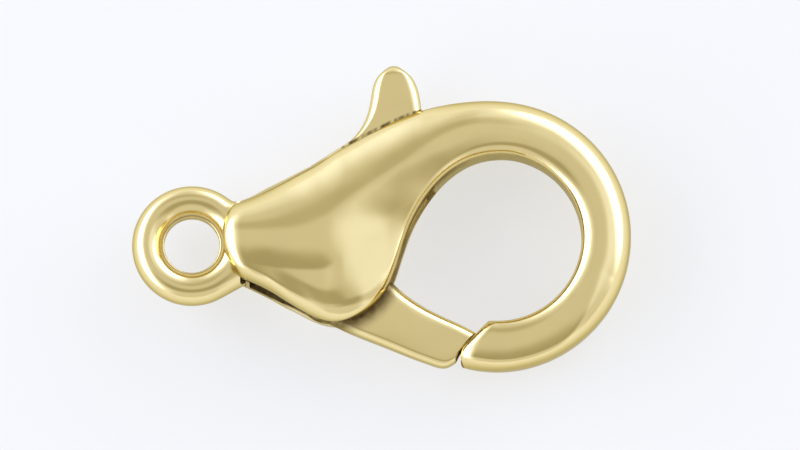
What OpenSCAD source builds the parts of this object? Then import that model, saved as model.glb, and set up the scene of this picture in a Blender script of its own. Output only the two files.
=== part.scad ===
// Lobster clasp lying on its back: eye ring at -X, hook at +X, thumb tab at +Y, front face up (+Z).
// All lengths are in millimetres.

/* [Whole clasp] */
// Length from the eye ring to the far side of the hook
overall_length = 18.0; // [16:0.1:20]
// Height from the hook's lowest edge to the thumb tab's tip
overall_height = 11.1; // [10.8:0.02:11.4]
// Height of the widest outline above the back
back_depth = 1.85; // [1.75:0.05:2]

/* [Hook] */
// Radius of the hook's outer outline
hook_radius = 4.88; // [4.6:0.01:5.1]
// Radius of the round opening inside the hook
opening_radius = 3.02; // [2.9:0.01:3.1]
// How far the opening's centre lies below the hook's centre
opening_drop = 0.13; // [0.05:0.01:0.2]
// How far the opening's centre lies beyond the hook's centre, away from the eye
opening_shift = 0.07; // [0:0.01:0.12]
// Front height of the hook above its widest outline, at the far side
hook_front = 1.4; // [1.3:0.05:1.5]
// Front height at the hook's tip
tip_front = 1.2; // [1.1:0.02:1.3]
// How far the bevelled tip reaches past its last section
tip_reach = 0.33; // [0.2:0.01:0.36]

/* [Housing] */
// Front height of the housing above its widest outline
housing_front = 2.15; // [2:0.05:2.3]
// Radius of the roll along the outer edge
outer_roll = 1.1; // [0.8:0.05:1.2]
// Radius of the roll along the inner edge
inner_roll = 0.34; // [0.25:0.01:0.45]
// How far the housing's end bulges over the eye ring
end_bulge = 0.6; // [0.4:0.05:0.65]
// Thickness of the closed roof beside the thumb slot
roof_thickness = 0.5; // [0.4:0.05:0.6]
// Distance from the pivot to the step on the roof that the thumb tab's tail slides over
roof_radius = 4.71; // [4.6:0.01:4.74]

/* [Eye ring] */
// Outer diameter of the eye ring
eye_diameter = 4.32; // [4.1:0.02:4.5]
// How far the eye ring's centre lies below the hook's centre
eye_drop = 0.32; // [0.25:0.01:0.4]
// Diameter of the eye hole
eye_hole = 2.0; // [1.8:0.05:2.1]
// Thickness of the eye ring from back to front
eye_thickness = 1.7; // [1.5:0.05:1.8]
// Length of the straight wall inside the eye hole
eye_land = 0.6; // [0.4:0.05:0.8]

/* [Lever] */
// Thickness of the lever plate
lever_thickness = 1.4; // [1.2:0.05:1.5]
// Clearance between each face of the lever and its cheek
lever_clearance = 0.05; // [0.03:0.01:0.08]
// Radius of the lever's hub
hub_radius = 0.97; // [0.85:0.02:1.01]
// Gap between the gate and the hook's tip when closed
gate_gap = 0.11; // [0.08:0.01:0.15]
// Width of the rolled edge round the lever's faces
lever_roll = 0.24; // [0.15:0.01:0.3]
// Angle that the lever opens, in degrees
open_angle = 28; // [22:1:28]

/* [Pin and spring] */
// Diameter of the pivot pin
pin_diameter = 0.9; // [0.7:0.05:1]
// Running clearance round the pin in the lever
pin_clearance = 0.04; // [0.02:0.01:0.06]
// Fitting gap round the pin in the casting
pin_seat_gap = 0.01; // [0.01:0.01:0.02]
// How deep the pin goes into the front cheek
pin_depth = 0.5; // [0.3:0.05:0.6]
// Thickness of the return spring's strip
spring_thickness = 0.12; // [0.1:0.01:0.16]
// Gap between the spring and what it bears on
spring_gap = 0.04; // [0.03:0.01:0.06]

/* [Hidden] */
$fn = 96;
gold = [0.83, 0.74, 0.47];
pale_gold = [0.86, 0.78, 0.55];

// Columns of the housing's table
OUT_X = 0;
OUT_Y = 1;
IN_X = 2;
IN_Y = 3;
RISE = 4;

// Outer and inner edge of the housing, from the eye ring to the hook, as shares of the
// hook's radius from its centre; the last column is the front height, as a share of the
// step from the hook's front height to the housing's.
housing_rows = [
    [-2.000, 0.245, -1.985, -0.310, 1.00],
    [-1.920, 0.250, -1.875, -0.325, 1.00],
    [-1.830, 0.275, -1.735, -0.385, 1.00],
    [-1.730, 0.320, -1.575, -0.475, 1.00],
    [-1.620, 0.375, -1.400, -0.585, 1.00],
    [-1.505, 0.435, -1.230, -0.655, 1.00],
    [-1.385, 0.500, -1.065, -0.645, 1.00],
    [-1.260, 0.565, -0.910, -0.555, 1.00],
    [-1.135, 0.630, -0.800, -0.415, 0.98],
    [-1.005, 0.705, -0.732, -0.250, 0.93],
    [-0.860, 0.780, -0.688, -0.080, 0.85],
    [-0.695, 0.865, -0.632, 0.085, 0.76],
    [-0.505, 0.935, -0.525, 0.275, 0.66],
    [-0.310, 0.990, -0.365, 0.455, 0.56],
    [-0.100, 1.010, -0.155, 0.572, 0.46],
];

// The round hook: the outer and inner edges turn from these angles to these
hook_start = [83.7, 85.6];
hook_end = [-104.3, -96.3];
hook_steps = 14;

mid = back_depth;
hook_at = [overall_length / 2 - hook_radius, hook_radius - overall_height / 2];
opening_at = hook_at + [opening_shift, -opening_drop];
eye_at = [eye_diameter / 2 - overall_length / 2, hook_at[1] - eye_drop];
pivot_at = hook_at + hook_radius * [-1.245, -0.4285];
thumb_rise = overall_height / 2 - pivot_at[1];

function smooth(s) = s * s * (3 - 2 * s);
function clamp(s, lo, hi) = min(max(s, lo), hi);
function polar(r, a) = r * [cos(a), sin(a)];

// A smooth curve led by its points c: the even cubic blend of the four nearest points
function weights(f) = [
    pow(1 - f, 3) / 6,
    (3 * pow(f, 3) - 6 * f * f + 4) / 6,
    (-3 * pow(f, 3) + 3 * f * f + 3 * f + 1) / 6,
    pow(f, 3) / 6,
];
function led(c, t) =
    let (i = min(floor(t), len(c) - 3), w = weights(t - i))
    w[0] * c[i - 1] + w[1] * c[i] + w[2] * c[i + 1] + w[3] * c[i + 2];

function turn_step(i) = (hook_start[i] - hook_end[i]) / hook_steps;
function ring_points(at, r, i) = [
    for (k = [0 : hook_steps + 1])
        at + polar(3 * r / (2 + cos(turn_step(i))), hook_start[i] - k * turn_step(i))
];
outer_lead = concat(
    [for (row = housing_rows) hook_at + hook_radius * [row[OUT_X], row[OUT_Y]]],
    ring_points(hook_at, hook_radius, 0)
);
inner_lead = concat(
    [for (row = housing_rows) hook_at + hook_radius * [row[IN_X], row[IN_Y]]],
    ring_points(opening_at, opening_radius, 1)
);
rise_lead = concat(
    [for (row = housing_rows) row[RISE]],
    [for (k = [0 : hook_steps + 1]) 0.37 * pow(max(0, 1 - k / 7), 2)]
);

first_row = 1;
last_row = len(housing_rows) + hook_steps;
tip_rows = 5;
end_rows = 1.6;

function front_at(t) =
    let (tip = smooth(clamp((t - last_row + tip_rows) / tip_rows, 0, 1)))
    hook_front
        + (housing_front - hook_front) * led(rise_lead, t)
        + (tip_front - hook_front) * tip;

// A rolled edge: height share at distance d from an edge whose roll has radius r
function roll(d, r, p) = pow(max(0, 1 - pow(1 - clamp(d / r, 0, 1), p)), 1 / p);

// A kind of section: roll and power of its two edges, and the crown of its faces
function outer_of(kind, w) = min(kind[0], 0.6 * w);
function inner_of(kind, w) = min(kind[1], 0.3 * w);
casting_kind = [outer_roll, inner_roll, 2.3, 3.2, 0.04];
lever_kind = [lever_roll, lever_roll, 2.2, 2.2, 0.02];

// Places across one section, from one edge to the other, denser on the rolls
roll_parts = 6;
flat_parts = 5;
function across(w, kind) =
    let (ro = outer_of(kind, w), ri = inner_of(kind, w))
    concat(
        [for (k = [0 : roll_parts]) ro * (1 - pow(cos(90 * k / roll_parts), 2 / kind[2]))],
        [for (k = [1 : flat_parts]) ro + (w - ro - ri) * k / (flat_parts + 1)],
        [for (k = [roll_parts : -1 : 0])
            w - ri * (1 - pow(cos(90 * k / roll_parts), 2 / kind[3]))]
    );

function lift(d, w, kind) =
    let (m = 2 * d / w - 1)
    roll(d, outer_of(kind, w), kind[2])
        * roll(w - d, inner_of(kind, w), kind[3])
        * (1 - kind[4] * m * m);

// One section between the edge points a and b. Its points are pushed along the travel
// by push(share) = bulge * 4s(1-s) backward and reach * tip_shape(s) forward.
function tip_shape(s) = 1.25 * (1 - s) * roll(s, 0.22, 2);
function section(a, b, front, back, kind, bulge, reach) =
    let (w = norm(b - a), u = (b - a) / w, v = [-u[1], u[0]])
    [for (d = across(w, kind))
        let (
            s = d / w,
            p = a + u * d + v * (reach * tip_shape(s) - 4 * bulge * s * (1 - s)),
            h = lift(d, w, kind)
        )
        [p[0], p[1], h * front, h * back]];

// Height share left by the rolled end beside the eye ring and by the bevel at the tip
function end_lift(t) =
    roll(t - first_row + 0.01, end_rows, 2.4)
        * (1 - 0.16 * (1 - roll(last_row - t, 0.3, 2)));

function station(t) = section(
    led(outer_lead, t),
    led(inner_lead, t),
    end_lift(t) * front_at(t),
    end_lift(t) * back_depth,
    casting_kind,
    end_bulge * pow(clamp(1 - (t - first_row) / 3, 0, 1), 2),
    tip_reach * smooth(clamp(1 - (last_row - t) / 1.5, 0, 1))
);

rows = concat(
    [for (k = [0 : 6]) first_row + end_rows * (1 - pow(cos(90 * k / 7), 0.8))],
    [for (t = [first_row + end_rows : 0.5 : last_row - 0.5]) t],
    [last_row - 0.3, last_row - 0.18, last_row - 0.08, last_row - 0.02, last_row]
);

function ring_of(s) = concat(
    [for (q = s) [q[0], q[1], mid + q[2]]],
    [for (i = [len(s) - 2 : -1 : 1]) [s[i][0], s[i][1], mid - s[i][3]]]
);

module lofted(rings) {
    n = len(rings[0]);
    m = len(rings);
    half = n / 2;
    function at(j, i) = j * n + (i % n);
    sides = [
        for (j = [0 : m - 2], i = [0 : n - 1])
            each [
                [at(j, i), at(j + 1, i), at(j + 1, i + 1)],
                [at(j, i), at(j + 1, i + 1), at(j, i + 1)],
            ]
    ];
    // Each end closes as strips between the front points and the back points
    function strip(j) = concat(
        [[at(j, 0), at(j, 1), at(j, n - 1)]],
        [for (i = [1 : half - 2])
            each [
                [at(j, i), at(j, i + 1), at(j, n - i)],
                [at(j, i + 1), at(j, n - i - 1), at(j, n - i)],
            ]],
        [[at(j, half - 1), at(j, half), at(j, half + 1)]]
    );
    function flipped(f) = [for (q = f) [q[0], q[2], q[1]]];
    polyhedron(
        points = [for (r = rings) each r],
        faces = concat(sides, strip(0), flipped(strip(m - 1))),
        convexity = 8
    );
}

module housing_and_hook() {
    lofted([for (t = rows) ring_of(station(t))]);
}

slot_low = mid - lever_thickness / 2 - lever_clearance;
slot_high = mid + lever_thickness / 2 + lever_clearance;
eye_radius = eye_diameter / 2;

// The ring's profile: a flat land at the hole, rounded over to the outer edge
module eye_ring() {
    hole = eye_hole / 2;
    centre = hole + 0.46 * (eye_radius - hole);
    rise = (eye_thickness - eye_land) / 2;
    function inner_quarter(k) = [
        centre - (centre - hole) * pow(cos(k), 0.9),
        eye_land / 2 + rise * pow(sin(k), 0.9),
    ];
    function outer_quarter(k) = [
        centre + (eye_radius - centre) * pow(cos(k), 0.9),
        eye_thickness / 2 * pow(sin(k), 0.9),
    ];
    upper = concat(
        [[hole - 0.04, eye_land / 2]],
        [for (k = [0 : 15 : 75]) inner_quarter(k)],
        [for (k = [90 : -11.25 : 10]) outer_quarter(k)],
        [[eye_radius, 0]]
    );
    translate([eye_at[0], eye_at[1], mid])
        rotate_extrude()
            polygon(concat(
                upper,
                [for (i = [len(upper) - 2 : -1 : 0]) [upper[i][0], -upper[i][1]]]
            ));
}

// The closed roof and the neck: a thin plate under the housing's outer edge
roof_end = 93.6;
flank_radius = 0.55;
flank_angle = 61.1;
function out_of_pivot(p, r) =
    let (q = p - pivot_at, n = norm(q))
    pivot_at + q * (min(n, r) / n);
roof_t = [for (k = [0 : 12]) 1.4 + 4.1 * k / 12];
roof_edge = [
    for (t = roof_t)
        let (p = led(outer_lead, t), q = p - pivot_at)
        if (atan2(q[1], q[0]) > roof_end + 1) out_of_pivot(p + q / norm(q) * 0.02, roof_radius)
];
roof_last = roof_edge[len(roof_edge) - 1] - pivot_at;
neck_top = [
    eye_at + polar(eye_radius - 0.04, 50),
    eye_at + polar(eye_radius + 0.02, 43),
    eye_at + polar(eye_radius + 0.1, 37.5),
];

module plate_at(low, high) {
    translate([0, 0, low])
        linear_extrude(height = high - low)
            children();
}

module roof_and_neck() {
    plate_at(slot_low, slot_high)
        polygon(concat(
            neck_top,
            roof_edge,
            [pivot_at + polar(min(norm(roof_last), roof_radius), roof_end + 0.5)],
            [for (k = [0 : 6])
                pivot_at + polar(roof_radius - roof_thickness - 0.1, roof_end + 0.5 + 6.5 * k)],
            [eye_at + eye_radius * [0.88, -0.14], eye_at + polar(eye_hole / 2 + 0.3, 10)]
        ));
    // The straight flank from the ring to the housing's lower corner
    flank = polar(eye_radius - flank_radius, -flank_angle);
    translate([eye_at[0], eye_at[1], mid])
        hull()
            for (p = [flank, flank + polar(2.9 * flank_radius, 90 - flank_angle)])
                translate([p[0], p[1], 0])
                    scale([1, 1, 0.42 * eye_thickness / flank_radius])
                        sphere(r = flank_radius, $fn = 24);
}

// The hollow between the cheeks, open below, at the opening and at the thumb slot
reach = 0.9652 * hook_radius;
hollow_left = -reach * 2 / 3;
stem_right = 0.4163 * thumb_rise;
side_gap = 0.08;
roof_under = [
    for (p = roof_edge)
        let (q = p - pivot_at)
        if (q[0] > hollow_left * 0.97) q * (1 - roof_thickness / norm(q))
];
roof_inside = norm(roof_under[len(roof_under) - 1]);
module hollow() {
    translate([pivot_at[0], pivot_at[1], slot_low])
        linear_extrude(height = slot_high - slot_low)
            polygon(concat(
                [
                    [hollow_left, 0.075 * reach],
                    [hollow_left, roof_under[0][1] - 0.06 * reach],
                ],
                roof_under,
                [
                    polar(roof_inside, roof_end),
                    polar(1.17 * reach, roof_end),
                    reach * [0.085, 1.4],
                    [stem_right + side_gap, 1.57 * reach],
                    [stem_right + side_gap, 0.8175 * reach],
                    reach * [0.892, 0.797],
                    reach * [0.977, 0.042],
                    reach * [0.87, -0.403],
                    reach * [0.552, -0.68],
                    reach * [0, -0.467],
                    reach * [-0.616, -0.064],
                ]
            ));
}

pin_top = slot_high + pin_depth;
pin_bottom = 0.06;

module clasp_body() {
    color(gold)
        difference() {
            union() {
                housing_and_hook();
                eye_ring();
                roof_and_neck();
            }
            hollow();
            translate([eye_at[0], eye_at[1], -1])
                cylinder(r = eye_hole / 2, h = 2 * mid + 2);
            translate([pivot_at[0], pivot_at[1], -1])
                cylinder(r = pin_diameter / 2 + pin_seat_gap, h = pin_top + 1 + pin_seat_gap);
        }
}

// The hook's bevelled tip, which the gate's end follows at the closed gap
tip_a = led(outer_lead, last_row);
tip_b = led(inner_lead, last_row);
tip_u = (tip_b - tip_a) / norm(tip_b - tip_a);
tip_v = [-tip_u[1], tip_u[0]];
function tip_at(s) = tip_a + (tip_b - tip_a) * s + tip_v * (tip_reach * tip_shape(s));
tip_along = (tip_at(0.3) - tip_b) / norm(tip_at(0.3) - tip_b);
tip_out = [-abs(tip_along[1]), abs(tip_along[0])];
gate_drop = 0.182 * opening_radius;
gate_corner = tip_b + tip_along * gate_drop + tip_out * gate_gap - pivot_at;
gate_low = tip_at(0.24) + tip_along * gate_drop / 4 + tip_out * 1.27 * gate_gap - pivot_at;
gate_length = norm(gate_corner);
gate_u = gate_corner / gate_length;

// Columns of the gate's table
TOP_ALONG = 0;
TOP_ACROSS = 1;
LOW_ALONG = 2;
LOW_ACROSS = 3;

// Top and lower edge of the gate, along and across the line from the pivot to the
// gate's corner, as shares of its length
gate_rows = [
    [0.175, 0.355, 0.065, -0.178],
    [0.270, 0.265, 0.170, -0.203],
    [0.368, 0.183, 0.280, -0.228],
    [0.468, 0.120, 0.395, -0.250],
    [0.577, 0.074, 0.515, -0.271],
    [0.690, 0.042, 0.635, -0.291],
    [0.805, 0.022, 0.750, -0.305],
    [0.915, 0.008, 0.845, -0.300],
];

// Columns of the thumb tab's table
LEFT_X = 0;
LEFT_Y = 1;
RIGHT_X = 2;
RIGHT_Y = 3;

// Left and right edge of the thumb tab, as shares of the tab's height over the pivot
thumb_rows = [
    [-0.030, 0.572, 0.415, 0.718],
    [0.036, 0.618, 0.414, 0.758],
    [0.094, 0.667, 0.410, 0.793],
    [0.140, 0.723, 0.406, 0.826],
    [0.170, 0.781, 0.401, 0.857],
    [0.188, 0.841, 0.395, 0.887],
    [0.194, 0.894, 0.384, 0.918],
    [0.208, 0.941, 0.368, 0.949],
    [0.238, 0.972, 0.337, 0.974],
];

// A lead that starts and ends on its own first and last point
function ended(c) = concat(
    [2 * c[0] - c[1]],
    c,
    [2 * c[len(c) - 1] - c[len(c) - 2]]
);

function on_gate(a, c) = gate_length * (a * gate_u + c * [-gate_u[1], gate_u[0]]);
gate_top = ended(concat(
    [for (r = gate_rows) on_gate(r[TOP_ALONG], r[TOP_ACROSS])],
    [gate_corner]
));
gate_under = ended(concat(
    [for (r = gate_rows) on_gate(r[LOW_ALONG], r[LOW_ACROSS])],
    [gate_low]
));
thumb_left = ended([for (r = thumb_rows) thumb_rise * [r[LEFT_X], r[LEFT_Y]]]);
thumb_right = ended([for (r = thumb_rows) thumb_rise * [r[RIGHT_X], r[RIGHT_Y]]]);

half_lever = lever_thickness / 2;
gate_last = len(gate_rows) + 1;
thumb_last = len(thumb_rows);

function gate_section(t) =
    let (h = half_lever * (1 - 0.2 * (1 - roll(gate_last - t, 0.25, 2))))
    section(led(gate_top, t), led(gate_under, t), h, h, lever_kind, 0, 0);
function thumb_section(t) =
    let (h = half_lever * roll(thumb_last - t + 0.02, 1.2, 2.2))
    section(led(thumb_left, t), led(thumb_right, t), h, h, lever_kind,
        -0.23 * pow(clamp(1 - (thumb_last - t) / 2.5, 0, 1), 2), 0);

module gate() {
    lofted([
        for (t = concat(
            [for (t = [1 : 0.5 : gate_last - 0.5]) t],
            [gate_last - 0.25, gate_last - 0.12, gate_last - 0.04, gate_last]
        ))
            ring_of(gate_section(t))
    ]);
}

module thumb() {
    lofted([
        for (t = concat(
            [for (t = [1 : 0.5 : thumb_last - 1.5]) t],
            [for (k = [6 : -1 : 0]) thumb_last - 1.2 * (1 - pow(cos(90 * k / 7), 0.9))]
        ))
            ring_of(thumb_section(t))
    ]);
}

// The hidden plate: hub, stem and the tab's tail over the closed roof
stem_angle = roof_end - open_angle - 1.6;
tail_radius = roof_radius + lever_clearance;
wall_gap = 0.06;
function on_wall(t) =
    let (
        p = led(inner_lead, t),
        q = led(inner_lead, t + 0.1) - p,
        n = [-q[1], q[0]] / norm(q)
    )
    p + n * wall_gap - pivot_at;

// The stem's face that the spring bears on
seat_low = reach * [-0.0425, 0.3715];
seat_high = polar(roof_inside - 0.6 * roof_thickness, stem_angle + 3);
module stem() {
    h = 0.97 * half_lever;
    translate([0, 0, mid - h])
        linear_extrude(height = 2 * h)
            polygon(concat(
                [for (k = [0 : 20]) polar(hub_radius, -70 - 6.75 * k)],
                [
                    hub_radius * [-0.64, 1.186],
                    seat_low,
                    seat_high,
                    polar(roof_inside, stem_angle),
                ],
                [for (k = [0 : 9])
                    polar(tail_radius, stem_angle + (91.2 - stem_angle) * k / 9)],
                [
                    [0.0433 * stem_right, tail_radius + 0.7 * lever_roll],
                    [0.954 * stem_right, 0.746 * thumb_rise],
                    [0.988 * stem_right, 0.698 * thumb_rise],
                    [stem_right, 0.59 * thumb_rise],
                    [stem_right, 0.457 * thumb_rise],
                ],
                [for (k = [0 : 8]) on_wall(12 - 3.3 * k / 8)],
                [
                    hub_radius * [1.96, 0.1],
                    hub_radius * [0.98, -0.93],
                ]
            ));
}

module lever() {
    color(gold)
        difference() {
            union() {
                translate([pivot_at[0], pivot_at[1], 0]) {
                    gate();
                    thumb();
                    stem();
                }
            }
            translate([pivot_at[0], pivot_at[1], 0])
                cylinder(r = pin_diameter / 2 + pin_clearance, h = 2 * mid);
        }
}

module pivot_pin() {
    color(pale_gold)
        translate([pivot_at[0], pivot_at[1], pin_bottom])
            cylinder(r = pin_diameter / 2, h = pin_top - pin_bottom);
}

// The spring's centre line, from the slit by the eye ring round to the stem
seat_line = (seat_high - seat_low) / norm(seat_high - seat_low);
seat_out = [-seat_line[1], seat_line[0]];
spring_seat = seat_low + seat_line * 0.3 + seat_out * spring_gap;
spring_top = roof_inside - 0.65 * roof_thickness;
spring_lead = ended([
    reach * [-0.607, 0.064],
    reach * [-0.6305, 0.191],
    reach * [-0.641, 0.34],
    polar(spring_top, 143.3),
    polar(spring_top, 134),
    polar(0.94 * spring_top, 124.4),
    polar(0.84 * spring_top, 115),
    spring_seat + seat_out * 0.62 - seat_line * 0.2,
    spring_seat,
]);
spring_width = 1.3;
function spring_side(t, side) =
    let (p = led(spring_lead, t), q = led(spring_lead, t + 0.05) - led(spring_lead, t - 0.05))
    p + side * spring_thickness / 2 * [-q[1], q[0]] / norm(q);

module return_spring() {
    ts = [for (t = [1.06 : 0.25 : 8.9]) t];
    color(pale_gold)
        translate([pivot_at[0], pivot_at[1], mid - spring_width / 2])
            linear_extrude(height = spring_width)
                polygon(concat(
                    [for (t = ts) spring_side(t, 1)],
                    [for (i = [len(ts) - 1 : -1 : 0]) spring_side(ts[i], -1)]
                ));
}

clasp_body();
lever();
pivot_pin();
return_spring();
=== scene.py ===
"""Lobster clasp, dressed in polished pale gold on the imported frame.

Shapes are worked out in millimetres as numpy arrays and written to the mesh in metres.
"""
import math

import bmesh
import bpy
import numpy as np
from mathutils import Matrix, Vector, kdtree


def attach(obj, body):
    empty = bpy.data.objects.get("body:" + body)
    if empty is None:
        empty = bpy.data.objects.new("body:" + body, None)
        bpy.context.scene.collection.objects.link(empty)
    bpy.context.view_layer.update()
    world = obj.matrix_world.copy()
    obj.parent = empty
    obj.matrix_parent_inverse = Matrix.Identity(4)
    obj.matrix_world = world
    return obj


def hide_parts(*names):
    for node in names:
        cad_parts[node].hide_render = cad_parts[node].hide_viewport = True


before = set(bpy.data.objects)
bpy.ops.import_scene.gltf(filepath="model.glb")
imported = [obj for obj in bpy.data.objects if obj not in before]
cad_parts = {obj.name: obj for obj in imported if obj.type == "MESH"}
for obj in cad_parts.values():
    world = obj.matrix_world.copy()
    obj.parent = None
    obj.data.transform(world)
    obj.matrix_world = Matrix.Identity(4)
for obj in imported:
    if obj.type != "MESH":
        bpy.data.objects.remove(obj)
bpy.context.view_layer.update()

MM = 0.001

# Sizes in millimetres and angles in degrees, most of them as in the part's source

LENGTH = 18.0
HEIGHT = 11.1

# The hook and its opening, two circles not quite about the same centre
HOOK_R = 4.88
OPENING_R = 3.02
HOOK_AT = np.array([LENGTH / 2 - HOOK_R, HOOK_R - HEIGHT / 2])
OPENING_AT = HOOK_AT + np.array([0.07, -0.13])

# The eye ring: its radius, its hole, half its thickness and the hole's straight length
EYE_R = 2.16
EYE_HOLE_R = 1.0
EYE_HALF = 0.85
EYE_LAND = 0.6
EYE_AT = np.array([EYE_R - LENGTH / 2, HOOK_AT[1] - 0.32])

# The middle plane's height, what the fronts stand over it, and the slot's two planes
MID = 1.85
HOOK_FRONT = 1.4
TIP_FRONT = 1.2
HOUSING_FRONT = 2.15
SLOT_LOW = MID - 0.75
SLOT_HIGH = MID + 0.75

# The hinge, and the roof over the hollow, an arc about the hinge that ends at an angle
PIVOT = HOOK_AT + HOOK_R * np.array([-1.245, -0.4285])
TRAVEL = 28
ROOF_R = 4.71
ROOF_WALL = 0.6
ROOF_END = 93.6

# The lever: half its thickness and half its hidden stem's, and the tab's height over the
# hinge and its right side
LEVER_HALF = 0.7
STEM_HALF = 0.68
THUMB_RISE = HEIGHT / 2 - PIVOT[1]
THUMB_RIGHT = 0.4163 * THUMB_RISE

# Hairs by which a dressed piece stays inside its solid's box
HOOK_SHY = 0.004
EYE_SHY = 0.001

# Housing from the eye ring to the hook. Columns: x and y of the outer edge, then of the
# inner edge, as shares of the hook's radius from its centre, and the share of the height
# by which the housing's front stands over the hook's
HOUSING = np.array([
    [-2.000, 0.245, -1.985, -0.310, 1.00],
    [-1.920, 0.250, -1.875, -0.325, 1.00],
    [-1.830, 0.275, -1.735, -0.385, 1.00],
    [-1.730, 0.320, -1.575, -0.475, 1.00],
    [-1.620, 0.375, -1.400, -0.585, 1.00],
    [-1.505, 0.435, -1.230, -0.655, 1.00],
    [-1.385, 0.500, -1.065, -0.645, 1.00],
    [-1.260, 0.565, -0.910, -0.555, 0.96],
    [-1.135, 0.630, -0.800, -0.415, 0.89],
    [-1.005, 0.705, -0.732, -0.250, 0.81],
    [-0.860, 0.780, -0.688, -0.080, 0.74],
    [-0.695, 0.865, -0.632, 0.085, 0.67],
    [-0.505, 0.935, -0.525, 0.275, 0.60],
    [-0.310, 0.990, -0.365, 0.455, 0.53],
    [-0.100, 1.010, -0.155, 0.572, 0.46],
])
HOOK_STEPS = 14
OUTER_TURN = (83.7, -103.5)
INNER_TURN = (85.6, -96.3)


# Curves

def polar(radius, degrees):
    """The point at that radius and angle: radius times cosine and sine."""
    a = np.radians(degrees)
    return np.stack([radius * np.cos(a), radius * np.sin(a)], -1)


def unit(v):
    """The same directions with length 1."""
    return v / np.linalg.norm(v, axis=-1, keepdims=True)


def left_of(u):
    """The directions turned a quarter to the left."""
    return np.stack([-u[..., 1], u[..., 0]], -1)


def led(points, t):
    """Even cubic B-spline: at t the four nearest lead points are blended with weights
    (1-f)^3/6, (3f^3-6f^2+4)/6, (-3f^3+3f^2+3f+1)/6 and f^3/6, f being t's fraction."""
    t = np.asarray(t, float)
    i = np.clip(np.floor(t).astype(int), 1, len(points) - 3)
    f = (t - i)[..., None]
    p = np.asarray(points, float)
    p = p[:, None] if p.ndim == 1 else p
    out = (
        (1 - f) ** 3 * p[i - 1]
        + (3 * f**3 - 6 * f**2 + 4) * p[i]
        + (-3 * f**3 + 3 * f**2 + 3 * f + 1) * p[i + 1]
        + f**3 * p[i + 2]
    ) / 6
    return out[..., 0] if np.ndim(points) == 1 else out


def ended(points):
    """The lead with its first and last point mirrored once more, so the curve reaches them."""
    p = np.asarray(points, float)
    return np.concatenate([[2 * p[0] - p[1]], p, [2 * p[-1] - p[-2]]])


def turn_points(at, radius, turn):
    """Lead points of a circle: they stand outside it by 3 / (2 + cosine of the step)."""
    step = (turn[0] - turn[1]) / HOOK_STEPS
    k = np.arange(HOOK_STEPS + 2)
    return at + polar(3 * radius / (2 + math.cos(math.radians(step))), turn[0] - k * step)


def smooth(s):
    """Three s squared less two s cubed, held between 0 and 1."""
    s = np.clip(s, 0, 1)
    return s * s * (3 - 2 * s)


def roll(d, r, p):
    """Height share at distance d from a rolled edge of radius r: a superellipse of power p."""
    return np.clip(1 - (1 - np.clip(d / r, 0, 1)) ** p, 0, None) ** (1 / p)


def distance(points, curve):
    """Distance of each point from the nearest point of a curve given as close points."""
    out = np.empty(len(points))
    for k in range(0, len(points), 4000):
        gap = points[k:k + 4000, None] - curve[None]
        out[k:k + 4000] = np.sqrt((gap**2).sum(-1).min(1))
    return out


# Edges of housing and hook as functions of t, which grows by 1 from one lead point to the
# next, and the height share along them, which runs out over the hook's first steps

OUTER = np.concatenate([HOOK_AT + HOOK_R * HOUSING[:, 0:2],
                        turn_points(HOOK_AT, HOOK_R - HOOK_SHY, OUTER_TURN)])
INNER = np.concatenate([HOOK_AT + HOOK_R * HOUSING[:, 2:4],
                        turn_points(OPENING_AT, OPENING_R, INNER_TURN)])
RISE = np.concatenate([HOUSING[:, 4],
                       0.37 * np.clip(1 - np.arange(HOOK_STEPS + 2) / 7, 0, None) ** 2])
FIRST = 1.0
LAST = float(len(HOUSING) + HOOK_STEPS)


# Meshes. Points are merged within the gap, and a section has this many steps on each of
# its two rolls and between them

MERGE_GAP = 0.0005
ROLL_STEPS = 18
FLAT_STEPS = 28


def piece(name, verts_mm, faces, body, material):
    """A mesh object at the origin from points in millimetres."""
    mesh = bpy.data.meshes.new(name)
    mesh.from_pydata((np.asarray(verts_mm) * MM).tolist(), [], faces)
    mesh.validate()
    obj = bpy.data.objects.new(name, mesh)
    bpy.context.scene.collection.objects.link(obj)
    mesh.materials.append(material)
    if body:
        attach(obj, body)
    return obj


def round_off(obj, degrees=40):
    """Shades smooth across edges flatter than that angle."""
    mesh = obj.data
    mesh.polygons.foreach_set("use_smooth", np.ones(len(mesh.polygons), bool))
    mesh.set_sharp_from_angle(angle=math.radians(degrees))
    mesh.update()


def grid_faces(rows, cols, ring=False):
    """Quads of a grid of points that closes on itself across, and along too as a ring."""
    j, i = np.meshgrid(np.arange(rows if ring else rows - 1), np.arange(cols), indexing="ij")
    k, n = (j + 1) % rows, (i + 1) % cols
    q = np.stack([j * cols + i, k * cols + i, k * cols + n, j * cols + n], -1)
    return q.reshape(-1, 4).tolist()


def cap_faces(row, cols, flip):
    """Quads between the front and the back points of one end row."""
    b = row * cols
    i = np.arange(cols // 2 - 1)
    quads = np.stack([b + i, b + i + 1, b + cols - i - 2, b + cols - i - 1], -1).tolist()
    return [f[::-1] for f in quads] if flip else quads


def across(w, outer, inner, ledge):
    """Places across a section of width w: close together on its two rolls, even between.
    On a roll of radius r and power p the k-th place is r (1 - cos(k)^(2/p))."""
    w = w[:, None]
    a = np.cos(np.linspace(0, math.pi / 2, ROLL_STEPS + 1))[None]
    step = ledge[:, None] * np.array([0, 0.12, 0.35, 0.7])[None]
    left = ledge[:, None] + outer[0][:, None] * (1 - a ** (2 / outer[1][:, None]))
    right = w - inner[0][:, None] * (1 - a[:, ::-1] ** (2 / inner[1][:, None]))
    from_left = ledge[:, None] + outer[0][:, None]
    mid = np.linspace(0, 1, FLAT_STEPS + 2)[None, 1:-1]
    middle = from_left + (w - from_left - inner[0][:, None]) * mid
    return np.concatenate([step, left, middle, right], 1)


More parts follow.
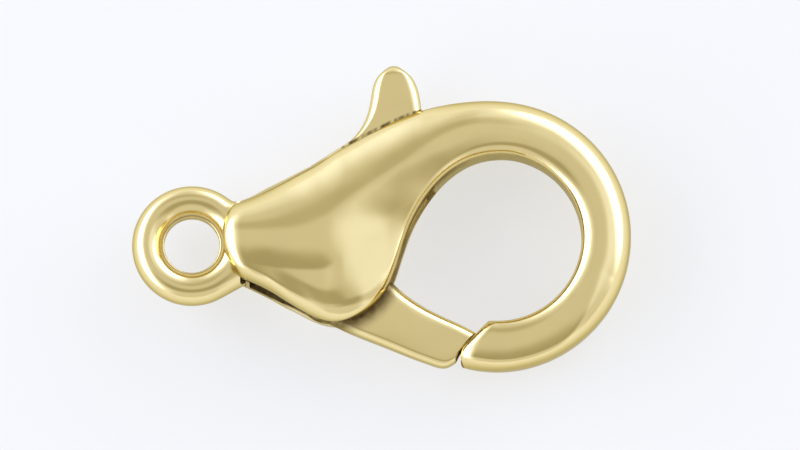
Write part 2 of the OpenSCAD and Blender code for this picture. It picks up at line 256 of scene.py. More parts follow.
def shell(a, b, height, outer, inner, crown, push, ledge=0.0):
    """One side of a piece between the edge points a and b, as places and height shares.
    outer and inner are (radius, power, share) of the two edge rolls: the share rolls over
    and the rest stands as a wall. The height share at distance d is
    (1 - s + s roll(d)) (1 - s + s roll(w - d)) (1 - crown m^2), m from -1 to 1 across.
    A ledge keeps the outer wall's height up to that distance."""
    n = len(a)
    outer, inner = ([np.zeros(n) + k for k in e] for e in (outer, inner))
    crown, ledge = np.zeros(n) + crown, np.zeros(n) + ledge
    w = np.linalg.norm(b - a, axis=1)
    u = unit(b - a)
    outer[0] = np.minimum(outer[0], 0.7 * w)
    inner[0] = np.minimum(inner[0], 0.42 * w)
    d = across(w, outer, inner, ledge)
    s = d / w[:, None]
    place = a[:, None] + u[:, None] * d[..., None] + left_of(u)[:, None] * push(s)[..., None]
    m = 2 * s - 1
    rise = roll(np.clip(d - ledge[:, None], 0, None), outer[0][:, None], outer[1][:, None])
    fall = roll(w[:, None] - d, inner[0][:, None], inner[1][:, None])
    lip = roll(d, np.maximum(0.35 * ledge, 1e-6)[:, None], 2)
    share = (((1 - outer[2][:, None]) * lip + outer[2][:, None] * rise)
             * (1 - inner[2][:, None] * (1 - fall)) * (1 - crown[:, None] * m * m))
    return place, share * height[:, None], share


def closed(front, back):
    """Points and faces of the piece whose two sides are (places, heights) grids."""
    ring = np.concatenate([
        np.dstack([front[0], MID + front[1]]),
        np.dstack([back[0], MID - back[1]])[:, ::-1],
    ], 1)
    rows, cols = ring.shape[:2]
    faces = grid_faces(rows, cols) + cap_faces(0, cols, False) + cap_faces(rows - 1, cols, True)
    return ring.reshape(-1, 3), faces


def paint_shade(obj, points=None, values=None, also=None):
    """Writes painted shade on each point, 0 to 1, which darkens its colour to stand in for
    shade: the given values, taken from the nearest of the given points where there are any,
    or more where also, a function of the places in millimetres, says so."""
    mesh = obj.data
    n = len(mesh.vertices)
    co = np.empty(n * 3, np.float32)
    mesh.vertices.foreach_get("co", co)
    co = co.reshape(-1, 3) / MM
    out = np.zeros(n)
    if points is not None:
        tree = kdtree.KDTree(len(points))
        for k, q in enumerate(points):
            tree.insert(q, k)
        tree.balance()
        out = np.array([values[tree.find(q)[1]] for q in co])
    elif values is not None:
        out = values
    if also is not None:
        out = np.maximum(out, also(co))
    # The attribute holds painted shade
    layer = mesh.attributes.new("painted_shade", "FLOAT", "POINT")
    layer.data.foreach_set("value", out.astype(np.float32))


def merged(obj):
    """Points closer than the gap become one, and faces point outwards."""
    bm = bmesh.new()
    bm.from_mesh(obj.data)
    bmesh.ops.remove_doubles(bm, verts=bm.verts, dist=MERGE_GAP * MM)
    bmesh.ops.dissolve_degenerate(bm, edges=bm.edges, dist=MERGE_GAP * MM)
    bmesh.ops.recalc_face_normals(bm, faces=bm.faces)
    bm.to_mesh(obj.data)
    bm.free()


def prism(name, corners, low, high, body=None, material=None):
    """A flat outline drawn straight up from one height to another."""
    c = np.asarray(corners)
    area = np.sum(c[:, 0] * np.roll(c[:, 1], -1) - np.roll(c[:, 0], -1) * c[:, 1])
    c = c if area > 0 else c[::-1]
    n = len(c)
    verts = np.concatenate([np.column_stack([c, np.full(n, low)]),
                            np.column_stack([c, np.full(n, high)])])
    i = np.arange(n)
    k = (i + 1) % n
    sides = np.stack([i, k, k + n, i + n], -1).tolist()
    faces = sides + [list(range(n))[::-1], list(range(n, 2 * n))]
    return piece(name, verts, faces, body, material or bare)


def softened(obj, width_mm):
    """Breaks the sharp edges of a flat piece with a small round."""
    mod = obj.modifiers.new("soft", "BEVEL")
    mod.width = width_mm * MM
    mod.segments = 3
    mod.limit_method = "ANGLE"
    mod.angle_limit = math.radians(50)
    mod.harden_normals = False


def hollowed(obj, name, outline):
    """Takes what lies inside the outline between the slot's two planes out of the piece,
    worked out 1000 times larger."""
    cutter = prism(name, outline, SLOT_LOW, SLOT_HIGH)
    merged(cutter)
    for o in (obj, cutter):
        o.data.transform(Matrix.Scale(1 / MM, 4))
    mod = obj.modifiers.new("cut", "BOOLEAN")
    mod.operation = "DIFFERENCE"
    mod.solver = "EXACT"
    mod.object = cutter
    dg = bpy.context.evaluated_depsgraph_get()
    done = bpy.data.meshes.new_from_object(obj.evaluated_get(dg))
    obj.modifiers.clear()
    old = obj.data
    obj.data = done
    bpy.data.meshes.remove(old)
    bpy.data.objects.remove(cutter)
    done.transform(Matrix.Scale(MM, 4))


# Finish

def mapped(tree, source, start, end, low, high, kind="LINEAR"):
    """A socket that goes from low to high while the source goes from start to end."""
    made = tree.nodes.new("ShaderNodeMapRange")
    made.interpolation_type = kind
    for key, value in (("From Min", start), ("From Max", end), ("To Min", low), ("To Max", high)):
        made.inputs[key].default_value = value
    tree.links.new(source, made.inputs["Value"])
    return made.outputs["Result"]


def reckoned(tree, operation, first, second):
    """A socket with the sum or product of two others."""
    made = tree.nodes.new("ShaderNodeMath")
    made.operation = operation
    tree.links.new(first, made.inputs[0])
    tree.links.new(second, made.inputs[1])
    return made.outputs["Value"]


def blended(tree, kind, factor, first, second):
    """A socket between two colours or numbers, each given as a value or as a socket."""
    made = tree.nodes.new("ShaderNodeMix")
    made.data_type = kind
    slots = {"FLOAT": (2, 3, 0), "RGBA": (6, 7, 2)}[kind]
    tree.links.new(factor, made.inputs["Factor"])
    for slot, value in zip(slots, (first, second)):
        if isinstance(value, bpy.types.NodeSocket):
            tree.links.new(value, made.inputs[slot])
        else:
            made.inputs[slot].default_value = value
    return made.outputs[slots[2]]


# The metal's tint at grazing angles, the brown colour and roughness of painted shade in creases and
# gaps, and the polish's ripple
EDGE_TINT = (0.58, 0.53, 0.33, 1)
SHADE_COLOUR = (0.13, 0.075, 0.018, 1)
SHADE_ROUGH = 0.5
RIPPLE_DEPTH = 0.06 * MM


def gold(name, colour, rough, ripple):
    """Polished pale gold: metal with a wavy hand polish and a cloudy sheen, with painted
    shade, which noise breaks up: darker brown and duller where its points carry it."""
    mat = bpy.data.materials.new(name)
    mat.use_nodes = True
    tree = mat.node_tree
    nodes, links = tree.nodes, tree.links
    shader = nodes["Principled BSDF"]
    shader.inputs["Metallic"].default_value = 1.0
    shader.inputs["Specular Tint"].default_value = EDGE_TINT
    where = nodes.new("ShaderNodeTexCoord")

    def noise(scale, detail):
        made = nodes.new("ShaderNodeTexNoise")
        made.inputs["Scale"].default_value = scale
        made.inputs["Detail"].default_value = detail
        links.new(where.outputs["Object"], made.inputs["Vector"])
        return made.outputs["Fac"]

    # Painted shade: the points' attribute darkens the colour toward brown and roughens it
    shade_amount = nodes.new("ShaderNodeAttribute")
    shade_amount.attribute_name = "painted_shade"
    broken = mapped(tree, noise(2600, 3), 0.35, 0.62, 0.72, 1.0)
    shade_factor = reckoned(tree, "MULTIPLY", shade_amount.outputs["Fac"], broken)
    cloud = mapped(tree, noise(700, 3), 0.35, 0.65, 0, 1)
    tone = blended(tree, "RGBA", cloud, (*[0.975 * c for c in colour], 1), (*colour, 1))
    links.new(blended(tree, "RGBA", shade_factor, tone, SHADE_COLOUR), shader.inputs["Base Color"])
    sheen = mapped(tree, noise(900, 4), 0.3, 0.7, rough * 0.85, rough * 1.2)
    links.new(blended(tree, "FLOAT", shade_factor, sheen, SHADE_ROUGH), shader.inputs["Roughness"])
    bump = nodes.new("ShaderNodeBump")
    bump.inputs["Strength"].default_value = ripple
    bump.inputs["Distance"].default_value = RIPPLE_DEPTH
    links.new(noise(380, 1.5), bump.inputs["Height"])
    links.new(bump.outputs["Normal"], shader.inputs["Normal"])
    return mat


GOLD = (0.93, 0.78, 0.39)
bare = bpy.data.materials.new("cutter")
cast_gold = gold("cast_gold", GOLD, 0.16, 0.9)
lever_gold = gold("lever_gold", GOLD, 0.16, 0.9)
pin_gold = gold("pin_gold", (0.88, 0.72, 0.36), 0.22, 0.5)
strip_gold = gold("strip_gold", (0.9, 0.76, 0.42), 0.2, 0.3)


# Casting. What changes along it is given by knots, which are pairs of a row's t and the
# value there

END_ROLL = 0.97
# Painted shade on the end faces of the hook's tip and the gate, across their narrow gap
END_SHADE = 0.85
TIP_REACH = 0.33
SLIT_LOW = 1.0
SLIT_HIGH = 1.12


def casting_rows():
    """Rows close together on the rolled end and the bevelled tip, even between."""
    end = FIRST + END_ROLL * (1 - np.cos(np.linspace(0, math.pi / 2, 22)))
    even = np.arange(FIRST + END_ROLL + 0.07, LAST - 0.5, 0.075)
    tip = LAST - 0.46 * (1 - np.sin(np.linspace(0, math.pi / 2, 16)))
    return np.concatenate([end, even, tip])


ROWS = casting_rows()


def along(*knots):
    """The value at each row of the casting: soft steps from knot to knot."""
    out = np.full(len(ROWS), float(knots[0][1]))
    for (t0, v0), (t1, v1) in zip(knots, knots[1:]):
        out += (v1 - v0) * smooth((ROWS - t0) / (t1 - t0))
    return out


# The housing's top edge has a strip outside its curve, and its front steps back from the
# edge by a ledge, which takes the strip in
STRIP = along((1.5, 0), (3.4, 0.062), (7.2, 0))
LEDGE = STRIP + along((6.2, 0.1), (7.8, 0))
OVER = unit(led(INNER, ROWS) - led(OUTER, ROWS))
EDGE_OUT = led(OUTER, ROWS) - OVER * STRIP[:, None]
EDGE_IN = led(INNER, ROWS)


def tip_push(s):
    """How far the bevelled tip stands out past its chord at share s, as a share of its
    reach: it comes round the outer corner, then falls evenly to the inner edge."""
    return 1.45 * (1 - s) * roll(s, 0.33, 1.5)


def casting_push(s):
    """Sections bend out at the bevelled tip, and back toward the eye ring as a parabola."""
    reach = TIP_REACH * smooth(1 - (LAST - ROWS) / 1.5)
    bulge = 0.6 * np.clip(1 - (ROWS - FIRST) / 3, 0, 1) ** 2
    return reach[:, None] * tip_push(s) - 4 * bulge[:, None] * s * (1 - s)


def end_share(low):
    """Share of the full height at each row, from low at the eye ring over the end's roll,
    and falling by 0.24 over the tip's."""
    return ((low + (1 - low) * roll(ROWS - FIRST, END_ROLL, 2.4))
            * (1 - 0.24 * (1 - roll(LAST - ROWS, 0.44, 1.6))))


def fold(x, y):
    """A shallow fold in the housing's face, from 0 to 1 deep: it grows with the square of
    the way down to its lower line, then half of it fades. Both ends run out softly."""
    off = x - PIVOT[0] + 0.35
    bow = np.where(off > 0, 0.5, 0.045) * off**2
    deep = 1.0 - 0.5 * smooth(off / 1.1)
    down = (PIVOT[1] + 0.66 + bow + deep - y) / deep
    fall = np.clip(down, 0, 1) ** 2 * (1 - 0.5 * smooth((down - 1.03) / 1.3))
    return fall * smooth((0.95 - off) / 0.9) * smooth((off + 3.2) / 1.4)


def slant(x, y):
    """How far the face has fallen toward the hook, in millimetres: a soft step 2.6 mm wide
    from a line that bends to the right above and below y = -0.9, deepest near y = -0.35."""
    start = -2.3 + 0.42 * np.clip(y + 0.9, 0, None) ** 2 + 0.28 * np.clip(-0.9 - y, 0, None) ** 2
    deep = 0.19 + 0.085 * np.exp(-((y + 0.35) / 0.7) ** 2)
    return deep * smooth((x - start) / 2.6)


def bevel(d, reach):
    """Depth of an even slope that starts softly at the reach and goes on to the edge."""
    q = np.clip(reach - d, 0, None)
    return np.where(q < 0.4, q * q / 0.8, q - 0.2)


def face_drop(place, from_in, from_out):
    """How far the front lies under its loft, in millimetres: the fold, the lobe's slope to
    the inner edge, the slant toward the hook, two fine grooves along the lobe's edge, and
    the hook's lower arm falling outward with the square of the distance."""
    x, y = place[..., 0], place[..., 1]
    lobe = along((2.5, 0), (4.2, 0.24), (5, 0.2), (6.2, 0))
    housing = along((8.5, 1), (15, 0))
    groove = along((3.6, 0), (4.6, 0.008), (5.6, 0.008), (6.5, 0))
    lines = np.exp(-((from_in - 0.46) / 0.05) ** 2) + np.exp(-((from_in - 0.26) / 0.05) ** 2)
    arm = along((21.5, 0), (24, 0.085))
    return (0.1 * fold(x, y) + lobe[:, None] * bevel(from_in, 1.2) + housing[:, None] * slant(x, y)
            + groove[:, None] * lines + arm[:, None] * np.clip(0.95 - from_out, 0, None) ** 2)


def casting_front():
    """Places and heights of the front, and each point's distance from the inner and the
    outer edge. Its height is the hook's, plus the housing's rise, less the tip's fall."""
    height = (HOOK_FRONT + (HOUSING_FRONT - HOOK_FRONT) * led(RISE, ROWS)
              + (TIP_FRONT - HOOK_FRONT) * smooth((ROWS - LAST + 5) / 5))
    wall = along((1, 0.36), (7, 0.5), (11.6, 0.54), (13.8, 0))
    outer = (along((1, 1.2), (5.5, 2.05), (9, 2.05), (14, 1.35), (22, 1.35), (26, 0.34)),
             along((1, 2.1), (7, 1.7), (11.5, 1.7), (14, 2.85)), 1 - wall)
    inner = (along((4, 0.5), (6, 0.6), (8, 0.55), (10.5, 0.4), (15, 0.4), (19, 0.56)), 2.2,
             along((4, 0.45), (6.5, 0.27)))
    crown = along((8, 0.1), (13, 0.055), (18, 0.03), (22, 0.03), (26, 0.06))
    rim = EDGE_IN + OVER * along((2.2, 0), (3.4, 0.06), (5, 0.06), (6.5, 0))[:, None]
    place, up, share = shell(EDGE_OUT, rim, height * end_share(0.72), outer, inner, crown,
                             casting_push, LEDGE)
    from_in = np.linalg.norm(place - rim[:, None], axis=-1)
    from_out = np.linalg.norm(place - EDGE_OUT[:, None], axis=-1)
    up = up - face_drop(place, from_in, from_out) * np.clip(share, 0, 1)
    return place, up, from_in, from_out


def casting_back():
    """Places and heights of the back, and each point's distance from its inner edge, which
    stands out past the front's where the opening shows it."""
    shift = along((1, 0), (1.9, 0.02), (2.9, 0.01), (3.8, -0.06), (5, -0.06), (6.5, 0), (7, 0),
                  (8.2, 0.04), (9.3, 0.07), (10.5, 0.13), (11.5, 0.13), (14.5, 0))
    rim = EDGE_IN + OVER * shift[:, None]
    inner = (along((10, 0.35), (14, 0.75)), 2.2, along((10, 0.3), (14, 1)))
    place, down, _ = shell(EDGE_OUT, rim, MID * end_share(0.8), (0.95, 2.4, 1), inner, 0.02,
                           casting_push)
    return place, down, np.linalg.norm(place - rim[:, None], axis=-1)


def wall_line(front, back, part, slit_z, out):
    """Places and heights over the middle of a line of points on the inner wall, at that
    part of its height. Along the lobe, where the wall is slit, it lies at slit_z and is
    moved out by that much."""
    slit = along((1.7, 0), (3.6, 1), (5.6, 1), (6.6, 0))
    high, low = MID + front[1][:, -1], MID - back[1][:, -1]
    z = slit * slit_z + (1 - slit) * (low + part * (high - low))
    share = ((z - low) / (high - low))[:, None]
    place = back[0][:, -1] * (1 - share) + front[0][:, -1] * share + OVER * (slit * out)[:, None]
    return place[:, None], (z - MID)[:, None]


def casting_shade(up, from_in, from_out, low_in):
    """Painted shade on the casting's points, darker colour standing in for shade: at the foot
    of its end by the eye ring, at the rim of the opening, in the corner of the ledge, on
    the hook's inner wall and on the tip."""
    foot = along((1.02, 0.5), (1.12, 0))
    rim = along((7, 0), (8, 1), (13, 1), (14.5, 0))
    corner = along((1.5, 0), (2.5, 0.7), (6.2, 0.7), (7.8, 0))
    wall = along((11, 0), (13, 0.35))[:, None]
    shade_amount = np.maximum.reduce([
        foot[:, None] * smooth((1.0 - up) / 0.14),
        rim[:, None] * smooth(1 - from_in / 0.035),
        corner[:, None] * smooth(1.2 - np.abs(from_out - LEDGE[:, None]) / 0.03),
        wall * smooth(1 - from_in / 0.05),
    ])
    shade_amount = np.concatenate([shade_amount, wall, wall, (wall * smooth(1 - low_in / 0.2))[:, ::-1]], 1)
    shade_amount[-1] = END_SHADE
    return shade_amount.ravel()


def casting():
    """Housing and hook: lofts along the two edge curves, front and back, with two lines of
    points on the wall between them. Also its points, and their painted shade."""
    front, back = casting_front(), casting_back()
    upper = wall_line(front, back, 0.3, SLIT_HIGH, -0.14)
    lower = wall_line(front, back, 0.25, SLIT_LOW, 0)
    verts, faces = closed(
        (np.concatenate([front[0], upper[0]], 1), np.concatenate([front[1], upper[1]], 1)),
        (np.concatenate([back[0], lower[0]], 1), np.concatenate([back[1], -lower[1]], 1)))
    made = piece("casting", verts, faces, "casting", cast_gold)
    return made, verts, casting_shade(*front[1:], back[2])


def hollow_outline():
    """The outline of the space between the cheeks, from the pivot."""
    right = (THUMB_RIGHT + 0.025) / ROOF_R
    r = ROOF_R - ROOF_WALL
    left = -ROOF_R * 2 / 3
    start = 180 - math.degrees(math.acos(-left / r))
    arc = polar(r, np.linspace(start, ROOF_END, 40))
    rest = ROOF_R * np.array([
        [-0.0735, 1.169], [0.085, 1.4], [right, 1.57], [right, 0.8175], [0.892, 0.797],
        [0.977, 0.042], [0.87, -0.403], [0.552, -0.68], [0, -0.467], [-0.616, -0.064],
    ])
    return PIVOT + np.concatenate([[[left, 0.075 * ROOF_R]], arc, rest])


def ring_profile(reach):
    """Half profile of the eye ring from the hole outwards: a straight land, a narrow lip,
    then two superellipse quarters over the crest. reach is the outer radius at each angle."""
    k = np.radians(np.linspace(0, 90, 24))
    lip = 0.06
    centre = EYE_HOLE_R + 0.54 * (EYE_R - EYE_HOLE_R)
    land = EYE_LAND / 2
    lip_r = EYE_HOLE_R + lip * (1 - np.cos(k[::4]))
    lip_z = land - lip + lip * np.sin(k[::4])
    start = EYE_HOLE_R + lip
    inner_r = centre - (centre - start) * np.cos(k) ** 1.05
    inner_z = land + (EYE_HALF - land) * np.sin(k) ** 1.05
    outer_r = centre + (reach[:, None] - centre) * np.cos(k[::-1][1:]) ** 0.88
    outer_z = EYE_HALF * np.sin(k[::-1][1:]) ** 0.88
    n = len(reach)
    r = np.concatenate([np.tile(np.concatenate([lip_r, inner_r]), (n, 1)), outer_r], 1)
    z = np.tile(np.concatenate([lip_z, inner_z, outer_z]), (n, 1))
    r = np.concatenate([r, r[:, -2::-1]], 1)
    z = np.concatenate([z, -z[:, -2::-1]], 1)
    return r, z


def eye_ring():
    """A turned ring whose outer radius runs out into the neck. Below it follows the
    straight flank, radius / cos(angle from the flank's tangent point); above it swings
    out by 0.2 times the fifth power of the share of the angle left to the valley. It
    ends inside the housing, at most 2 mm to the right of its centre."""
    valley, flank, limit = 57, 61.1, 2.0
    phi = np.linspace(-180, 180, 481)[:-1]
    reach = np.full(len(phi), EYE_R - EYE_SHY)
    top = (phi > -4) & (phi < valley)
    low = (phi <= -4) & (phi > -flank)
    reach[top] = EYE_R + 0.2 * np.clip((valley - phi[top]) / 13.5, 0, 1) ** 5
    reach[low] = EYE_R / np.cos(np.radians(phi[low] + flank))
    right = np.abs(phi) < 75
    reach[right] = np.minimum(reach[right], limit / np.cos(np.radians(phi[right])))
    r, z = ring_profile(reach)
    x = EYE_AT[0] + r * np.cos(np.radians(phi))[:, None]
    y = EYE_AT[1] + r * np.sin(np.radians(phi))[:, None]
    verts = np.dstack([x, y, MID + z])
    return piece("eye_ring", verts.reshape(-1, 3), grid_faces(*r.shape, ring=True),
                 "casting", cast_gold)


def ring_room():
    """What the hollow takes out of the ring: all but a thin wall along the flank."""
    left, right, wall = 1.744, 3.0, 0.085
    return EYE_AT + np.array([
        [left, 1.2], [left, wall - 1.564], [2.2, wall - 1.312], [right, -0.9], [right, 1.2],
    ])


body_piece, body_points, body_shade = casting()
merged(body_piece)
ring_piece = eye_ring()
merged(ring_piece)
hollowed(body_piece, "hollow", hollow_outline())
hollowed(ring_piece, "ring_room", ring_room())

# Edges that the slot's two planes come near, which stay free of painted shade
OPEN_LIP = led(INNER, np.linspace(8.3, 14, 160))
SHOULDER = led(OUTER, np.linspace(5.5, 8, 100))


def in_slot(q):
    """1 on the points that the hollow's cut has made, painted shade that darkens the slot's
    inside: they are on its two planes, within the roof's radius to the right of the pivot,
    and not beside the opening's lip or the housing's shoulder."""
    slack = 1e-4
    low = (np.abs(q[:, 2] - SLOT_LOW) < slack) & (distance(q[:, :2], OPEN_LIP) > 1.3)
    high = (np.abs(q[:, 2] - SLOT_HIGH) < slack) & (distance(q[:, :2], SHOULDER) > 0.3)
    return ((low | high) & (q[:, 0] < PIVOT[0] + ROOF_R)).astype(float)


def in_eye(q):
    """Painted shade in the valley round the eye's hole and on its straight land."""
    r = np.linalg.norm(q[:, :2] - EYE_AT, axis=1)
    valley = smooth(1.2 - np.abs(r - EYE_HOLE_R - 0.075) / 0.05)
    return np.maximum(0.35 * valley, 0.2 * (r < EYE_HOLE_R + 0.03))


# Painted shade on the casting and the eye ring: in the slot, its creases and hollows
paint_shade(body_piece, body_points, body_shade, in_slot)
paint_shade(ring_piece, also=lambda q: np.maximum(in_slot(q), in_eye(q)))
for o in (body_piece, ring_piece):
    round_off(o)
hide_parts("clasp_body")


# Lever

def tip_at(s):
    """A point on the hook's bevelled tip at share s from its outer to its inner edge."""
    a, b = led(OUTER, LAST), led(INNER, LAST)
    return a + (b - a) * s + left_of(unit(b - a)) * TIP_REACH * tip_push(s)


# Two places from the pivot: the gate's upper corner, 0.55 mm down the tip's bevel and the
# gap off it, and the end of its top edge, a little further down and nearer to the tip
GATE_GAP = 0.11
TIP_IN = tip_at(1.0)
TIP_DOWN = unit(tip_at(0.3) - TIP_IN)
TIP_OFF = np.array([-abs(TIP_DOWN[1]), abs(TIP_DOWN[0])])
GATE_CORNER = TIP_IN + TIP_DOWN * 0.55 + TIP_OFF * GATE_GAP - PIVOT
GATE_END = GATE_CORNER + TIP_DOWN * 0.03 - TIP_OFF * 0.07
GATE_LENGTH = np.linalg.norm(GATE_CORNER)
GATE_U = GATE_CORNER / GATE_LENGTH

# Gate from the pivot on. Columns: top edge, then lower edge, each along and across the
# line from the pivot to the gate's corner, as shares of that line's length
GATE = np.array([
    [0.175, 0.355, 0.065, -0.178],
    [0.270, 0.265, 0.170, -0.202],
    [0.368, 0.188, 0.280, -0.220],
    [0.468, 0.129, 0.395, -0.233],
    [0.577, 0.086, 0.515, -0.249],
    [0.690, 0.054, 0.635, -0.267],
    [0.805, 0.033, 0.752, -0.277],
    [0.915, 0.014, 0.864, -0.290],
])
GATE_LOW_END = np.array([0.920, -0.226])

# Thumb tab from the roof up. Columns: x and y of its left edge, then of its right edge,
# from the pivot as shares of the tab's height over it
THUMB = np.array([
    [-0.076, 0.555, 0.416, 0.680],
    [-0.022, 0.590, 0.415, 0.718],
    [0.037, 0.627, 0.414, 0.758],
    [0.101, 0.665, 0.410, 0.793],
    [0.148, 0.722, 0.406, 0.826],
    [0.175, 0.781, 0.401, 0.857],
    [0.188, 0.841, 0.395, 0.887],
    [0.194, 0.894, 0.384, 0.918],
    [0.208, 0.941, 0.368, 0.949],
    [0.238, 0.972, 0.337, 0.974],
])


def on_gate(shares):
    """The points at those shares of the gate's length along and across its line."""
    return GATE_LENGTH * (shares[:, 0:1] * GATE_U + shares[:, 1:2] * left_of(GATE_U))


def gate():
    """The blade that closes the hook: a loft whose end follows the hook's bevel."""
    top = ended(np.concatenate([on_gate(GATE[:, 0:2]), [GATE_END]]))
    low = ended(on_gate(np.concatenate([GATE[:, 2:4], [GATE_LOW_END]])))
    last = len(GATE) + 1
    t = np.concatenate([np.arange(1, last - 0.3, 0.06),
                        last - 0.26 * (1 - np.sin(np.linspace(0, math.pi / 2, 10)))])
    h = LEVER_HALF * (1 - 0.2 * (1 - roll(last - t, 0.25, 1.8))) * (1 - 0.16 * smooth((t - 2.5) / 6))
    a, b = PIVOT + led(top, t), PIVOT + led(low, t)
    dent = 0.075 * smooth(1 - (last - t) / 1.3)

    def push(s):
        return -dent[:, None] * np.minimum(s / 0.72, (1 - s) / 0.28)

    def side(radius):
        return shell(a, b, h, (radius, 2, 0.55), (0.22, 2, 0.6), 0.08, push)

    verts, faces = closed(side(0.42), side(0.3))
    made = piece("gate", verts, faces, "lever", lever_gold)
    # Painted shade on the gate's end by the hook's tip and near the housing's edge
    shade_amount = np.zeros((len(t), len(verts) // len(t)))
    shade_amount[-1] = END_SHADE
    paint_shade(made, values=shade_amount.ravel(), also=under_lobe)
    return made


def thumb():
    """The thumb tab: a loft whose end rolls over like its two sides."""
    left = ended(THUMB_RISE * THUMB[:, 0:2])
    right = ended(THUMB_RISE * THUMB[:, 2:4])
    last = len(THUMB)
    t = np.concatenate([np.arange(1, last - 1.25, 0.07),
                        last - 1.2 * (1 - np.cos(np.linspace(math.pi / 2, 0, 22)) ** 0.9)])
    h = LEVER_HALF * roll(last - t, 1.2, 2.2)
    bow = 0.2285 * np.clip(1 - (last - t) / 4, 0, 1) ** 1.3
    side = shell(PIVOT + led(left, t), PIVOT + led(right, t), h, (0.36, 2, 0.55), (0.34, 2, 0.55),
                 0.06, lambda s: 4 * bow[:, None] * s * (1 - s))
    verts, faces = closed(side, side)
    made = piece("thumb_tab", verts, faces, "lever", lever_gold)
    paint_shade(made, also=along_crease)
    return made


def stem():
    """The plate inside the housing: hub, stem and the tab's tail over the roof."""
    angle = ROOF_END - TRAVEL - 1.6
    hub_r = 0.97
    hub = polar(hub_r, -70 - 6.75 * np.arange(21))
    tail = polar(ROOF_R + 0.05, np.linspace(angle, 93.5, 10))
    t = 12.15 - 3.45 * np.arange(9) / 8
    p = led(INNER, t)
    wall = p + left_of(unit(led(INNER, t + 0.1) - p)) * 0.06 - PIVOT
    outline = np.concatenate([
        hub,
        hub_r * np.array([[-0.64, 1.186]]),
        ROOF_R * np.array([[-0.0425, 0.3715]]),
        [polar(0.7856 * ROOF_R, angle + 3), polar(0.85 * ROOF_R, angle)],
        tail,
        np.array([THUMB_RIGHT, THUMB_RISE]) * np.array([
            [0.0433, 0.593], [0.954, 0.746], [0.988, 0.698], [1, 0.59], [1, 0.457]]),
        wall,
        hub_r * np.array([[1.96, 0.1], [0.98, -0.93]]),
    ])
    made = prism("stem", PIVOT + outline, MID - STEM_HALF, MID + STEM_HALF,
                 "lever", lever_gold)
    paint_shade(made, also=inside)
    return made


# The housing's edge over the gate, and a line on the tab just outside its edge there, both for
# painted shade
LOBE = led(INNER, np.linspace(4, 10, 240))
CREASE_T = np.linspace(8.1, 11.9, 240)
CREASE = led(OUTER, CREASE_T) - 0.018 * (led(INNER, CREASE_T) - led(OUTER, CREASE_T))


def under_lobe(q):
    """Painted shadow on the gate under the housing's overhanging edge, fading within 0.6 mm of it.
    """
    return smooth(1 - distance(q[:, :2], LOBE) / 0.6)


def along_crease(q):
    """Painted shade on the tab: a narrow broken line in the crease beside the housing's edge."""
    dash = smooth(0.7 + 0.5 * np.sin(11 * q[:, 0]) + 0.45 * np.sin(27 * q[:, 0] + 1))
    return dash * smooth(1.5 - distance(q[:, :2], CREASE) / 0.06)


def inside(q):
    """Painted shade on the hidden plate, all but the tab's tail, so the gaps around it look dark."""
    return smooth(4.4 - np.linalg.norm(q[:, :2] - PIVOT, axis=1))


gate_piece, thumb_piece, stem_piece = gate(), thumb(), stem()
for o, degrees in ((gate_piece, 40), (thumb_piece, 40), (stem_piece, 30)):
    merged(o)
    round_off(o, degrees)
softened(stem_piece, 0.05)
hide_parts("lever")

for node, mat in (("pivot_pin", pin_gold), ("return_spring", strip_gold)):
    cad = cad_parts[node]
    cad.data.materials.clear()
    cad.data.materials.append(mat)


# Floor, light and camera

def floor():
    """A pale matt square under the clasp that glows, so the picture's ground is near white."""
    side = 400
    pale = bpy.data.materials.new("pale")
    pale.use_nodes = True
    shader = pale.node_tree.nodes["Principled BSDF"]
    shader.inputs["Base Color"].default_value = (0.29, 0.295, 0.305, 1)
    shader.inputs["Roughness"].default_value = 0.9
    shader.inputs["Emission Color"].default_value = (1, 1, 1, 1)
    shader.inputs["Emission Strength"].default_value = 0.6
    verts = [[-side, -side, 0], [side, -side, 0], [side, side, 0], [-side, side, 0]]
    obj = piece("floor", verts, [[0, 1, 2, 3]], None, pale)


def level(degrees):
    """The level direction at that angle from the right, counted toward the back."""
    a = math.radians(degrees)
    return math.cos(a), math.sin(a), 0


# Soft steps of the studio's brightness. Columns: direction, start and end of the step as
# shares of that direction, brightness before and after it
STUDIO = (
    (90, -0.75, -0.50, 0.72, 0.42),
    (90, -0.25, 0.02, 0.0, 0.26),
    (90, 0.25, 0.45, 0.0, -0.16),
    (90, 0.60, 0.80, 0.0, 0.16),
    (18, 0.18, 0.45, 0.0, 0.30),
    (35, 0.62, 0.85, 0.0, 1.7),
    (118, 0.80, 1.0, 0.0, 0.25),
    (178, 0.25, 0.50, 0.0, 0.25),
    (178, 0.50, 0.75, 0.0, 1.8),
)


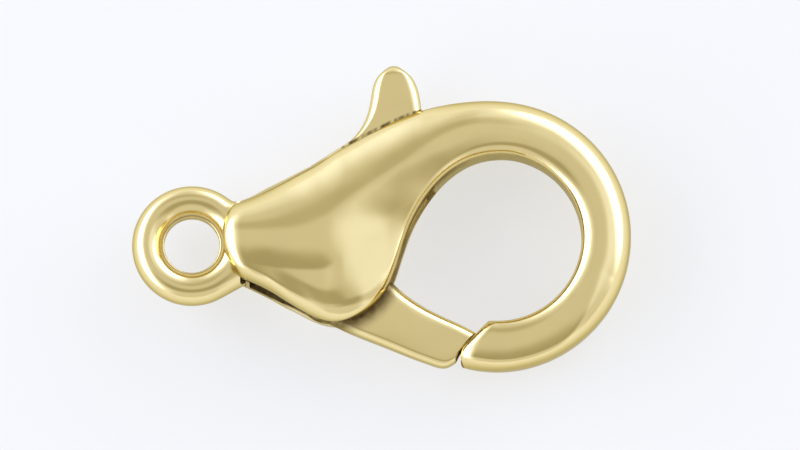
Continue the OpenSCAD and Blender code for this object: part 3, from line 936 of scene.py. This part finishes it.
def surround():
    """Studio air as a sum of soft steps on the direction's share along an axis: a light
    strip overhead between two dimmer ones, light front and back walls, and bright ones
    left and right. The dimmer it is, the warmer."""
    world = bpy.data.worlds.new("studio")
    bpy.context.scene.world = world
    world.use_nodes = True
    tree = world.node_tree
    where = tree.nodes.new("ShaderNodeTexCoord")
    total = None
    for degrees, *step in STUDIO:
        side = tree.nodes.new("ShaderNodeVectorMath")
        side.operation = "DOT_PRODUCT"
        side.inputs[1].default_value = level(degrees)
        tree.links.new(where.outputs["Generated"], side.inputs[0])
        part = mapped(tree, side.outputs["Value"], *step, "SMOOTHSTEP")
        total = part if total is None else reckoned(tree, "ADD", total, part)
    tint = tree.nodes.new("ShaderNodeCombineColor")
    tint.inputs["Red"].default_value = 1.0
    tree.links.new(mapped(tree, total, 0.42, 1.1, 0.93, 1.06), tint.inputs["Green"])
    tree.links.new(mapped(tree, total, 0.42, 1.1, 0.70, 1.28), tint.inputs["Blue"])
    back = tree.nodes["Background"]
    tree.links.new(tint.outputs["Color"], back.inputs["Color"])
    tree.links.new(total, back.inputs["Strength"])


# How the photograph frames the clasp: its width in pixels, a pixel's size in millimetres,
# and how many pixels the picture's middle lies from the clasp's
PHOTO_WIDE = 800
PIXEL = 0.03607
ASIDE = (18.4, -6)


def camera():
    """Long lens, 82 degrees up, aimed so that the clasp lies where the photograph has it."""
    data = bpy.data.cameras.new("camera")
    data.lens = 900
    data.sensor_width = 36
    obj = bpy.data.objects.new("camera", data)
    bpy.context.scene.collection.objects.link(obj)
    up = math.radians(82)
    back = Vector((0, -math.cos(up), math.sin(up)))
    target = Vector((ASIDE[0] * PIXEL, ASIDE[1] * PIXEL / math.sin(up), MID)) * MM
    far = PHOTO_WIDE * PIXEL * MM * data.lens / data.sensor_width
    obj.location = target + back * far
    obj.rotation_mode = "QUATERNION"
    obj.rotation_quaternion = (-back).to_track_quat("-Z", "Y")
    data.clip_start, data.clip_end = far * 0.05, far * 20
    bpy.context.scene.camera = obj


floor()
surround()
camera()
bpy.context.scene.view_settings.view_transform = "Standard"
